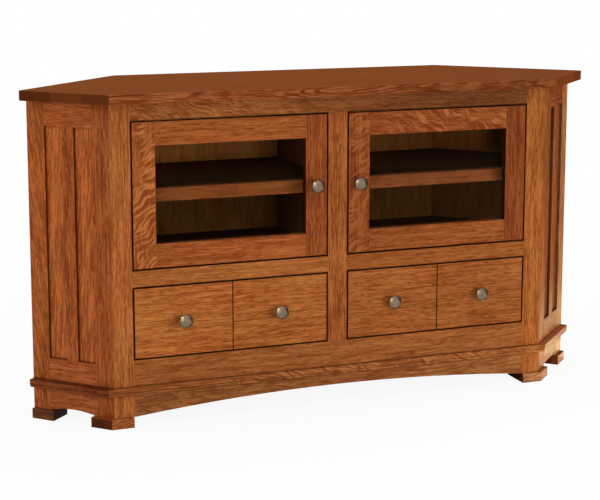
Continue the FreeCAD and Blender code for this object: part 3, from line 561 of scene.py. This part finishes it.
# The tone of each oak board, 0 to 255
TONES = {
    "front_post_left": (155, 87, 41), "front_post_right": (137, 77, 33),
    "centre_stile": (141, 79, 36), "top_rail": (127, 73, 35),
    "mid_rail_left": (151, 88, 42), "mid_rail_right": (131, 72, 31),
    "bottom_rail": (140, 80, 38), "bottom_rail_arch": (134, 81, 41),
    "base_moulding_front": (135, 76, 37),
    "base_moulding_left": (116, 56, 25), "base_moulding_right": (131, 69, 36),
    "side_front_stile_left": (151, 77, 35), "side_front_stile_right": (138, 75, 35),
    "side_back_stile_left": (158, 84, 38), "side_back_stile_right": (156, 98, 56),
    "side_mullion_left": (151, 77, 35), "side_mullion_right": (130, 69, 31),
    "side_panels_left": (171, 91, 43), "side_panels_right": (114, 63, 32),
    "side_top_rail_left": (161, 82, 39), "side_top_rail_right": (126, 64, 28),
    "side_bottom_rail_left": (161, 84, 42), "side_bottom_rail_right": (131, 74, 37),
    "front_foot_left": (145, 80, 36), "front_foot_right": (132, 80, 42),
    "side_foot_left": (98, 56, 28), "side_foot_right": (128, 70, 34),
    "door_hinge_stile_left": (145, 78, 36), "door_hinge_stile_right": (110, 53, 23),
    "door_knob_stile_left": (129, 65, 30), "door_knob_stile_right": (125, 62, 27),
    "door_rails_left": (146, 78, 36), "door_rails_right": (128, 69, 30),
    "door_top_rail_right": (126, 64, 29),
    "drawer_front_left": (156, 89, 40), "drawer_front_right": (137, 76, 34),
    "door_beads_left": (120, 62, 31), "door_beads_right": (120, 62, 31),
    "top_slab": (124, 68, 35), "top_slab_lit_right_end": (122, 64, 30),
    "shelf_lip_left": (98, 50, 22), "shelf_lip_right": (92, 47, 21), "shelf_top": (100, 71, 42),
    "back_panel": (174, 112, 57), "rear_panels": (147, 94, 46), "partition": (103, 68, 42),
    # The decks are toned far darker than the back panel: painted shade for the dim inside of the
    # case
    "bottom_deck": (60, 32, 15), "middle_deck": (80, 55, 33), "drawer_walls": (60, 32, 15),
}

# The way each board's grain runs, the way it faces, and what else shows in it
BOARDS = {
    "front_post_left": (UP, FRONT_FACE, dict(streaks=1.15, pores=0.8)),
    "front_post_right": (UP, FRONT_FACE, dict(streaks=1.05, pores=1.0)),
    "centre_stile": (UP, FRONT_FACE, dict(streaks=1.1, pores=1.2)),
    "top_rail": (RIGHT, FRONT_FACE, dict(rays=0.55, slope=32, ray_width=6,
                                         painted_light_drift=(RIGHT, -0.35, 0.35, 1.24, 0.60),
                                         fade=(RIGHT, -0.25, 0.1, 1.0, 0.12))),
    "mid_rail_left": (RIGHT, FRONT_FACE, dict(streaks=0.85, pores=0.8, patchy=0.6)),
    "mid_rail_right": (RIGHT, FRONT_FACE, dict(streaks=0.85, pores=0.8, patchy=0.6)),
    "bottom_rail": (RIGHT, FRONT_FACE, dict(streaks=0.85, painted_light_drift=(RIGHT, 0.05, 0.5, 1.0, 0.87))),
    "base_moulding_front": (RIGHT, FRONT_FACE, dict(rays=0.8, slope=33, ray_width=7,
                                                    fade=(RIGHT, -0.42, -0.3, 0.1, 1.0))),
}
LIVELY = dict(streaks=1.3, pores=1.2)
for hand, run, face in (("left", LEFT_RUN, LEFT_FACE), ("right", RIGHT_RUN, RIGHT_FACE)):
    # The right side's boards alone get a glossier copy of the same finish, which stands in for the
    # sheen on that side
    right_side_gloss = dict(shine=0.3, gloss=0.36) if hand == "right" else dict()
    BOARDS.update({
        f"base_moulding_{hand}": (run, face, dict(**LIVELY, **right_side_gloss)),
        f"side_front_stile_{hand}": (UP, face, dict(**right_side_gloss)),
        f"side_back_stile_{hand}": (UP, face, dict(tilt=11, **LIVELY, **right_side_gloss)),
        f"side_mullion_{hand}": (UP, face, dict(**LIVELY, **right_side_gloss)),
        f"side_panels_{hand}": (UP, face, dict(tilt=-4, streaks=1.2)),
        f"side_top_rail_{hand}": (run, face, dict(streaks=1.1, **right_side_gloss)),
        f"side_bottom_rail_{hand}": (run, face, dict(streaks=1.2, **right_side_gloss)),
        # The left front foot's ends are darkened far more than the right's: end grain, with
        # painted shade on the left and painted light on the right
        f"front_foot_{hand}": (RIGHT, FRONT_FACE,
                               dict(end_grain=1.3 if hand == "left" else 0.2, tilt=14, **right_side_gloss)),
        f"side_foot_{hand}": (run, face, dict(**right_side_gloss)),
        f"door_hinge_stile_{hand}": (UP, FRONT_FACE, dict(streaks=1.1)),
        f"door_knob_stile_{hand}": (UP, FRONT_FACE, dict(streaks=1.25, pores=1.2)),
        f"door_rails_{hand}": (RIGHT, FRONT_FACE, dict(streaks=0.9, patchy=0.55)),
        f"drawer_front_{hand}": (RIGHT, FRONT_FACE,
                                 dict(streaks=1.05, pores=1.3, patchy=0.5,
                                      painted_light_drift=(RIGHT, -0.5, -0.05, 1.08, 0.92) if hand == "left"
                                      else (RIGHT, 0.05, 0.5, 1.09, 0.91))),
        f"door_beads_{hand}": (RIGHT, FRONT_FACE, dict()),
    })
BOARDS["door_hinge_stile_left"][2].update(rays=0.9, slope=48, ray_width=6.5, streaks=0.7)
BOARDS["door_knob_stile_right"][2].update(rays=0.7, slope=62, ray_width=6, fleck_edge=0.4)

# How far the edges are eased
FRAME_EASE = 0.35 * MM
DOOR_EASE = 1.2 * MM
OPENING_EASE = 0.9 * MM
SHADED_EASE = 2.0 * MM
SLAB_EASE = 1.2 * MM
GROOVE_EASE = 1.1 * MM

# What lies deeper than this behind the face of a drawer front is in its groove
GROOVE_DEPTH = 0.5 * MM
# The edges of the groove lie within this distance of the drawer front's middle
GROOVE_REACH = 5 * MM

moulding_low, moulding_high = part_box("base_moulding_front")
# How wide the line of painted shade is beside the moulding and under its step
SHADE_LINE = 2.2 * MM
# How far the step lies above the moulding's lower edge
STEP_HEIGHT = 9 * MM


def outline_of(*nodes):
    corners = [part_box(node) for node in nodes]
    return (Vector(min(box[0][axis] for box in corners) for axis in range(3)),
            Vector(max(box[1][axis] for box in corners) for axis in range(3)))


# The outlines of the doors and drawers, and of the openings that they close
LEAVES = [outline_of(f"door_hinge_stile_{hand}", f"door_knob_stile_{hand}") for hand in HANDS]
LEAVES += [outline_of(f"drawer_front_{hand}") for hand in HANDS]
GAP = LEAVES[0][0].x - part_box("front_post_left")[1].x
OPENINGS = [(low - Vector((GAP, 0, GAP)), high + Vector((GAP, 0, GAP))) for low, high in LEAVES]

# Sides of an outline: the axis, and 0 for the lower end or 1 for the upper
LEFT_AND_TOP = ((0, 0), (2, 1))
RIGHT_AND_BOTTOM = ((0, 1), (2, 0))

FRONT_FRAME = ("front_post_left", "front_post_right", "centre_stile", "top_rail",
               "mid_rail_left", "mid_rail_right", "bottom_rail")
# The way from each foot to the middle of its side of the case
INWARD = {"front_foot_left": RIGHT, "front_foot_right": -RIGHT,
          "side_foot_left": -LEFT_RUN, "side_foot_right": -RIGHT_RUN}


def on_outline(outlines, sides=LEFT_AND_TOP + RIGHT_AND_BOTTOM):
    """Chooses the edges on the front that lie along the given sides of one of the outlines."""
    def along(edge, low, high):
        spots = [corner.co for corner in edge.verts]
        if not all(abs(spot.y - low.y) < NEAR and low.x - NEAR < spot.x < high.x + NEAR
                   and low.z - NEAR < spot.z < high.z + NEAR for spot in spots):
            return False
        return any(all(abs(spot[axis] - (low, high)[end][axis]) < NEAR for spot in spots)
                   for axis, end in sides)

    def chosen(edge):
        return any(along(edge, low, high) for low, high in outlines)
    return chosen


def in_groove(node):
    """Chooses the front edges of the groove down the middle of a drawer front."""
    low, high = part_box(node)
    middle = (low.x + high.x) / 2

    def chosen(edge):
        return all(abs(corner.co.y - low.y) < NEAR and abs(corner.co.x - middle) < GROOVE_REACH
                   for corner in edge.verts)
    return chosen


def gap_sides(node, face):
    """Chooses the sides of a board that close a gap or a recess beside it."""
    if node in INWARD:
        return turned_to(INWARD[node], NEARLY)
    low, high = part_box(node)
    drawer_front = node.startswith("drawer_front")

    def chosen(side):
        middle = side.calc_center_median()
        turned_out = side.normal.dot(face)
        if drawer_front and turned_out > PARTLY:
            return middle.y > low.y + GROOVE_DEPTH
        if abs(turned_out) > PARTLY:
            return False
        if drawer_front:
            return True
        if node.startswith("door_"):
            at_end = min(abs(middle.z - low.z), abs(middle.z - high.z)) < NEAR
            return abs(side.normal.x) > SQUARELY or (abs(side.normal.z) > SQUARELY and at_end)
        if "bottom_rail" in node:
            return side.normal.z > SQUARELY
        return not node.startswith("base_moulding")
    return chosen


def marked_board(node, face):
    """A board with its edges eased, and marked with painted highlight and painted shade."""
    shape = merged_copy(node)
    moulding = node.startswith("base_moulding")
    if node in FRONT_FRAME:
        # The long edges are cut where an opening begins and ends
        for low, high in OPENINGS:
            for axis in (RIGHT, UP):
                cut(shape, low, axis)
                cut(shape, high, axis)

    # Painted shade in a line where a board meets the moulding, and under the moulding's step
    line_low, line_high = moulding_low.z - SHADE_LINE, moulding_high.z + SHADE_LINE
    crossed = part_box(node)[0].z < line_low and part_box(node)[1].z > line_high
    if moulding:
        line_high = moulding_low.z + STEP_HEIGHT
        line_low = line_high - SHADE_LINE
        cut(shape, UP * line_low, UP)
    elif crossed:
        cut(shape, UP * line_low, UP)
        cut(shape, UP * line_high, UP)

    # Eased arrises: the doors' and drawers' edges get painted highlight or painted shade, the
    # openings' edges and the drawers' groove painted shade, and the other edges a little of both
    ease(shape, DOOR_EASE, 3, on_outline(LEAVES), painted_highlight=0.7)
    ease(shape, SHADED_EASE, 2, on_outline(OPENINGS, LEFT_AND_TOP), painted_shade=0.9)
    ease(shape, OPENING_EASE, 2, on_outline(OPENINGS, RIGHT_AND_BOTTOM), painted_shade=0.8)
    if node.startswith("drawer_front"):
        ease(shape, GROOVE_EASE, 2, in_groove(node), painted_shade=0.8)
    ease(shape, FRAME_EASE, 2, painted_highlight=0.3)

    # Painted shade on the sides of gaps and recesses, and on the sides of the feet that are turned
    # in
    on_side = node.startswith("side_") or node in INWARD
    paint_shade(shape, gap_sides(node, face), 0.75 if on_side else 1.0)
    # Painted shade in a line beside the moulding and under its step
    if crossed or moulding:
        paint_shade(shape, between(line_low - NEAR, line_high + NEAR), 0.6)
    # Painted shade on the left front foot's side that is turned to the left
    if node == "front_foot_left":
        paint_shade(shape, turned_to(LEFT_FACE), 0.55)
    # Painted shade on the upper part of the left moulding
    if node == "base_moulding_left":
        paint_shade(shape, between(moulding_low.z + 1.5 * STEP_HEIGHT, moulding_high.z + NEAR), 0.3)
    # Painted highlight on the top of the right moulding
    if node == "base_moulding_right":
        paint_highlight(shape, turned_to(UP, 0.25), 2.0)
    return shape


for seed, (node, (grain, face, look)) in enumerate(BOARDS.items(), start=1):
    shape = marked_board(node, face)
    woods = [oak(f"oak_{node}", grain, face, TONES[node], seed, **look)]
    if node.endswith("foot_right"):
        # The sides that are turned in get a copy of the finish without gloss, which stands in for
        # the shade there
        woods.append(oak(f"oak_{node}_inward", grain, face, TONES[node], seed, shine=0.0))
        give_second(shape, turned_to(INWARD[node], NEARLY))
    if node == "bottom_rail":
        # Below the moulding the rail shows arched figure
        woods.append(oak("oak_arched_rail", grain, face, TONES["bottom_rail_arch"], seed + 40,
                         streaks=1.15, cathedral=0.5))
        give_second(shape, between(cad_low.z, moulding_high.z))
    if node == "door_rails_right":
        # The top rail alone is cut on the quarter
        woods.append(oak("oak_quartered_rail", grain, face, TONES["door_top_rail_right"], seed,
                         **look, rays=1.0, slope=30, ray_width=8.5, fleck_edge=0.8,
                         fleck_start=0.54, fade=(RIGHT, 0.12, 0.26, 0.3, 1.0)))
        door_middle = (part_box(node)[0].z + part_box(node)[1].z) / 2
        give_second(shape, between(door_middle, cad_high.z))
    stands_for(as_object(shape, f"{node}_board"), node, *woods)

# The slab's front is brighter at the left and darker at the right: painted light and shade
slab_look = dict(streaks=1.3, pores=0.5, calm=0.8, cathedral=1.0, shine=0.0, gloss=0.5,
                 painted_light_drift=(RIGHT, -0.3, 0.5, 1.15, 0.8), planks=PLANK_WIDTH)
shape = merged_copy("top_slab")
# Eased arrises with painted highlight on the sides turned up or to the left, and painted shade on
# the others
ease(shape, SLAB_EASE, 3, painted_highlight=0.4)
# The right end gets a copy of the stain with less end darkening, so that it looks lit: painted
# light from the right
give_second(shape, turned_to(RIGHT_FACE))
stands_for(as_object(shape, "top_slab_board"), "top_slab",
           oak("oak_top_slab", RIGHT, UP, TONES["top_slab"], 61, end_grain=1.2, **slab_look),
           oak("oak_slab_lit_right_end", RIGHT, UP, TONES["top_slab_lit_right_end"], 61, end_grain=0.6,
               **slab_look))

# Inside the case: grain, face, seed and what else shows, with painted light above the shelves'
# height, and painted shade beside the partition, at the back panel's right end and in the upper
# right compartment
SHELF_LEVEL = (0.55, 0.6)
INSIDE = {
    "back_panel": (UP, FRONT_FACE, 80, dict(
        painted_light_drift=(UP, *SHELF_LEVEL, 0.98, 2.5),
        shades=((0.65, ((RIGHT, -0.09, 0.02), (RIGHT, 0.009, 0.005))),
                (0.65, ((RIGHT, 0.4555, 0.4593),)),
                (0.32, ((RIGHT, 0.005, 0.009), (UP, *SHELF_LEVEL)))))),
    "rear_panels": (UP, LEFT_FACE, 81, dict(
        painted_light_drift=(UP, *SHELF_LEVEL, 0.98, 2.0),
        shades=((0.75, ((RIGHT, 0.545, 0.59), (UP, *SHELF_LEVEL))),))),
    "bottom_deck": (RIGHT, UP, 81, dict()),
    "middle_deck": (RIGHT, UP, 81, dict()),
    "partition": (UP, RIGHT, 79, dict()),
    "drawer_walls": (BACKWARD, RIGHT, 82, dict()),
}
for node, (grain, face, seed, look) in INSIDE.items():
    dress(node, oak(f"oak_{node}", grain, face, TONES[node], seed, streaks=0.4, pores=0.6,
                    shine=0.0, **look))

# Each shelf is a board with a deeper lip along its front
LIP_DEPTH = 18.5 * MM
for hand in HANDS:
    node = f"shelf_{hand}"
    shape = merged_copy(node)
    # Eased arrises with painted highlight on the sides turned up or to the left, and painted shade
    # on the others
    ease(shape, FRAME_EASE, 2, painted_highlight=0.3)
    lip_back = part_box(node)[0].y + LIP_DEPTH
    give_second(shape, lambda side: side.calc_center_median().y >= lip_back)
    lip = oak(f"oak_{node}_lip", RIGHT, FRONT_FACE, TONES[f"shelf_lip_{hand}"], 81,
              streaks=0.8, shine=0.01)
    # The shelf top is darker toward its front: painted shade
    top = oak(f"oak_{node}_board", RIGHT, UP, TONES["shelf_top"], 83, streaks=0.6, shine=0.0,
              shades=((0.72, ((BACKWARD, 0.08, -0.12),)),))
    stands_for(as_object(shape, f"{node}_boards"), node, lip, top)

hardwood_box = plain_wood("hardwood_box", BACKWARD, RIGHT, (196, 160, 112), 90)
hardwood_rail = plain_wood("hardwood_rail", BACKWARD, UP, (168, 128, 84), 91)
for node, finish in (
        ("back_feet", plain_wood("hardwood_back_feet", UP, BACKWARD, (120, 84, 52), 92)),
        ("drawer_box_left", hardwood_box), ("drawer_box_right", hardwood_box),
        ("drawer_guides", hardwood_rail),
        ("shelf_battens", plain_wood("hardwood_battens", BACKWARD, UP, (90, 60, 36), 93)),
        ("door_pivots", metal("dark_brass", (44, 33, 18), 0.5, BRUSHED_UPWARD)),
        ("door_catches", moulded_plastic("catch_plastic", (58, 38, 26)))):
    dress(node, finish)

plated = metal("plated_steel", (178, 178, 176), 0.32, BRUSHED_ACROSS)
glass = float_glass("clear_glass")
for hand in HANDS:
    dress(f"strike_plate_{hand}", plated)
    dress(f"door_glass_{hand}", glass)

# Knobs, turned round their own axis: distance from the axis and distance out from the face, in mm
nickel = metal("brushed_nickel", (128, 113, 93), 0.34, BRUSHED_ANY_WAY, 0.16)
KNOB_PROFILE = (
    (2.05, 11), (2.05, 0.2), (2.4, 0), (7.6, 0), (8.0, 0.4), (7.2, 2.2), (6.6, 4.4), (6.7, 6.6),
    (7.6, 8.8), (9.6, 10.6), (12.6, 12.0), (15.4, 12.9), (16.5, 13.4), (17.0, 14.4), (16.95, 15.6),
    (16.3, 16.7), (14.6, 18.6), (12.2, 20.9), (9.2, 23.2), (5.6, 25.0), (2.6, 25.8), (0, 26.0))
SCREW_HOLE = ((0, 11), (2.05, 11))
KNOB_RADIUS = 17 * MM
# Edges on the knobs look sharp above this angle, in degrees
KNOB_SHARP = 35
TURNS = 48
# The thickness of the boards that the knobs' screws come through, in mm
DOOR_STILE = 20
DRAWER_FRONT = 19
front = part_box("front_post_left")[0].y


def turned(shape, profile, centre):
    """Spins a profile round the axis that runs out of the face at the centre."""
    rings = [shape.verts.new((centre.x + across * MM, centre.y - out * MM, centre.z))
             for across, out in profile]
    edges = [shape.edges.new(pair) for pair in zip(rings, rings[1:])]
    bmesh.ops.spin(shape, geom=rings + edges, cent=centre, axis=(0, 1, 0),
                   angle=math.radians(360), steps=TURNS, use_merge=True)


def screw(shape, centre, board):
    """The screw that comes through a board so thick and into the knob, its head behind it."""
    turned(shape, ((0, 9), (1.7, 9), (2, 8.4), (2, -board), (3.6, -board), (4, -board - 0.4),
                   (4, -board - 1.6), (3.4, -board - 2), (0, -board - 2)), centre)


def knobs(node, places, board):
    """Turned knobs instead of a node's own, at these places from left to right."""
    low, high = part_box(node)
    shape = bmesh.new()
    for place in places:
        centre = Vector((place, front, ((low + high) / 2).z))
        turned(shape, KNOB_PROFILE + SCREW_HOLE, centre)
        screw(shape, centre, board)
    bmesh.ops.remove_doubles(shape, verts=shape.verts, dist=MERGE_DISTANCE)
    bmesh.ops.recalc_face_normals(shape, faces=shape.faces)
    stands_for(as_object(shape, f"{node}_turned", KNOB_SHARP), node, nickel)


for hand in HANDS:
    low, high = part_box(f"door_knob_{hand}")
    knobs(f"door_knob_{hand}", [((low + high) / 2).x], DOOR_STILE)
    low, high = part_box(f"drawer_knobs_{hand}")
    knobs(f"drawer_knobs_{hand}", [low.x + KNOB_RADIUS, high.x - KNOB_RADIUS], DRAWER_FRONT)


# Studio

# How bright the backdrop looks, and how bright the light is that the case gets from it
BACKGROUND = 1.0
SKY = 0.55
FLOOR_RADIUS = 60
# Where the right cant stands, and the way from there that its gloss mirrors to the camera
RIGHT_CANT = Vector((0.66, -0.11, 0))
MIRRORED_WAY = Vector((0.865, 0.502, 0))
FLAG_DISTANCE = 0.9


def seen_directly(tree):
    """1 for rays from the camera, from a mirror-like surface or through glass."""
    path = put(tree, "ShaderNodeLightPath")
    seen = maths(tree, "MAXIMUM", path.outputs["Is Camera Ray"], path.outputs["Is Glossy Ray"])
    return maths(tree, "MAXIMUM", seen, path.outputs["Is Transmission Ray"])


def make_floor():
    """A pale floor that shows a little shade near the case and none further off."""
    shape = bmesh.new()
    bmesh.ops.create_circle(shape, cap_ends=True, radius=FLOOR_RADIUS, segments=64)
    floor = as_object(shape, "studio_floor")
    made, tree, output = blank("studio_paper")
    there = object_place(tree)
    colour = mixed(tree, noise(tree, there, PAPER_TOOTH, 2.0),
                   (0.86, 0.86, 0.86, 1), (0.89, 0.89, 0.89, 1))
    paper = put(tree, "ShaderNodeBsdfPrincipled",
                {"Base Color": colour, "Roughness": 0.9, "Specular IOR Level": 0.0})
    pale = put(tree, "ShaderNodeEmission", {"Color": (1, 1, 1, 1), "Strength": BACKGROUND})
    away = put(tree, "ShaderNodeVectorMath", {0: there}, operation="LENGTH").outputs["Value"]
    share = maths(tree, "MULTIPLY", seen_directly(tree), ramp(tree, away, 0.9, 2.6, 0.92, 1.0))
    show(tree, output, put(tree, "ShaderNodeMixShader",
                           {0: share, 1: paper.outputs[0], 2: pale.outputs[0]}))
    floor.data.materials.append(made)


def make_world():
    world = bpy.data.worlds.new("studio")
    bpy.context.scene.world = world
    world.use_nodes = True
    tree = world.node_tree
    tree.nodes.clear()
    output = put(tree, "ShaderNodeOutputWorld")
    level = ramp(tree, seen_directly(tree), 0.0, 1.0, SKY, BACKGROUND, smooth=False)
    show(tree, output, put(tree, "ShaderNodeBackground",
                           {"Color": (1, 1, 1, 1), "Strength": level}))


def flat_card(name, size, stretch, place):
    """A flat card that nothing but gloss shows."""
    shape = bmesh.new()
    bmesh.ops.create_grid(shape, x_segments=1, y_segments=1, size=size)
    bmesh.ops.scale(shape, vec=(stretch, 1.0, 1.0), verts=shape.verts)
    bmesh.ops.transform(shape, matrix=place, verts=shape.verts)
    card = as_object(shape, name)
    card.visible_camera = card.visible_diffuse = False
    card.visible_shadow = card.visible_transmission = False
    return card


def make_flag():
    """A black card beyond the right side, as in a studio, so that its gloss is dark."""
    aim = MIRRORED_WAY.to_track_quat("Z", "Y").to_matrix().to_4x4()
    place = Matrix.Translation(RIGHT_CANT + FLAG_DISTANCE * MIRRORED_WAY + UP)
    flag = flat_card("black_card", 1, 1.6, place @ aim)
    made, tree, output = blank("black_cloth")
    nap = noise(tree, object_place(tree), CLOTH_NAP, 1.0)
    show(tree, output, put(tree, "ShaderNodeBsdfDiffuse",
                           {"Color": mixed(tree, nap, (0.002, 0.002, 0.002, 1),
                                           (0.008, 0.008, 0.008, 1))}))
    flag.data.materials.append(made)


def make_warm_card():
    """A cream card on the floor between the right side and the black card."""
    turn = Matrix.Rotation(math.atan2(MIRRORED_WAY.y, MIRRORED_WAY.x), 4, "Z")
    place = Matrix.Translation(RIGHT_CANT + MIRRORED_WAY * FLAG_DISTANCE / 2
                               + 0.1 * RIGHT_FACE + 3 * MM * UP)
    card = flat_card("cream_card", 0.5, FLAG_DISTANCE, place @ turn)
    made, tree, output = blank("cream_card")
    tooth = noise(tree, object_place(tree), PAPER_TOOTH, 2.0)
    show(tree, output, put(tree, "ShaderNodeEmission",
                           {"Color": mixed(tree, tooth, (1.0, 0.97, 0.56, 1),
                                           (1.0, 1.0, 0.62, 1)),
                            "Strength": BACKGROUND}))
    card.data.materials.append(made)


def lamp(name, place, target, size, power, tint=(1, 1, 1), depth=None, turn=0, mirrored=True):
    """A soft round lamp, or with a depth a panel that is turned round the way it shines."""
    light = bpy.data.lights.new(name, "AREA")
    light.shape = "RECTANGLE" if depth else "DISK"
    light.size = size
    if depth:
        light.size_y = depth
    light.energy = power
    light.color = tint
    made = bpy.data.objects.new(name, light)
    bpy.context.scene.collection.objects.link(made)
    made.location = place
    made.visible_camera = False
    made.visible_glossy = mirrored
    aim = (Vector(target) - Vector(place)).to_track_quat("-Z", "Y").to_matrix()
    made.rotation_euler = (aim @ Matrix.Rotation(math.radians(turn), 3, "Z")).to_euler()
    return made


# The camera's lengths, in pixels of a picture so wide, and its turns, in degrees
PICTURE_WIDTH = 600
FOCAL_LENGTH = 1502.773
DOWNWARD_SHIFT = 80
FILM_WIDTH = 36
CAMERA_PLACE = (-1.364274, -3.603170, 1.174427)
LOOKS_DOWN = 8.895
LOOKS_RIGHT = 20.335


def make_camera():
    """The photograph's viewpoint: left of the middle, above the top and looking a little down."""
    camera = bpy.data.cameras.new("camera")
    made = bpy.data.objects.new("camera", camera)
    bpy.context.scene.collection.objects.link(made)
    camera.sensor_width = FILM_WIDTH
    camera.lens = FOCAL_LENGTH / PICTURE_WIDTH * FILM_WIDTH
    camera.shift_y = -DOWNWARD_SHIFT / PICTURE_WIDTH
    made.location = CAMERA_PLACE
    made.rotation_euler = (math.radians(90 - LOOKS_DOWN), 0, math.radians(-LOOKS_RIGHT))
    bpy.context.scene.camera = made


make_floor()
make_world()
make_flag()
make_warm_card()

# Each lamp's place and target in metres, its size in metres and its power in watts
MIDDLE = (0, 0, 0.4)
lamp("key", (2.7, -2.9, 0.5), MIDDLE, 0.8, 46, mirrored=False)
lamp("front_fill", (-0.9, -3.4, 2.6), MIDDLE, 2.2, 16, mirrored=False)
knob_light = lamp("knob_light", (-2.6, -0.8, 2.9), MIDDLE, 1.0, 48)
knob_light.visible_diffuse = False
lamp("left_fill", (-3.0, -1.6, 1.6), MIDDLE, 2.0, 20)
lamp("right_fill", (3.2, -1.6, 1.4), MIDDLE, 2.0, 4)
lamp("overhead", (0, 0.2, 3.2), MIDDLE, 2.0, 34)
lamp("bounce", (1.0, -1.2, 0.01), (0, -0.3, 0.6), 0.9, 12, mirrored=False)
# Two panels of light lie on the floor along the right cant, and the first shows only in gloss
PANEL_TURN = 45
panel_place = Vector((0.6565, -0.1112, 0.004)) + 0.24 * RIGHT_FACE
gloss_place = panel_place - 0.155 * RIGHT_FACE + 0.2 * RIGHT_RUN
gloss_panel = lamp("gloss_panel", gloss_place, gloss_place + UP, 0.9, 0.8, (1.0, 0.95, 0.55),
                   0.16, PANEL_TURN)
gloss_panel.visible_diffuse = False
lamp("low_right", panel_place, panel_place + UP, 0.5, 1.4, (1.0, 0.98, 0.76), 0.34, PANEL_TURN,
     mirrored=False)
make_camera()
bpy.context.scene.view_settings.view_transform = "Standard"
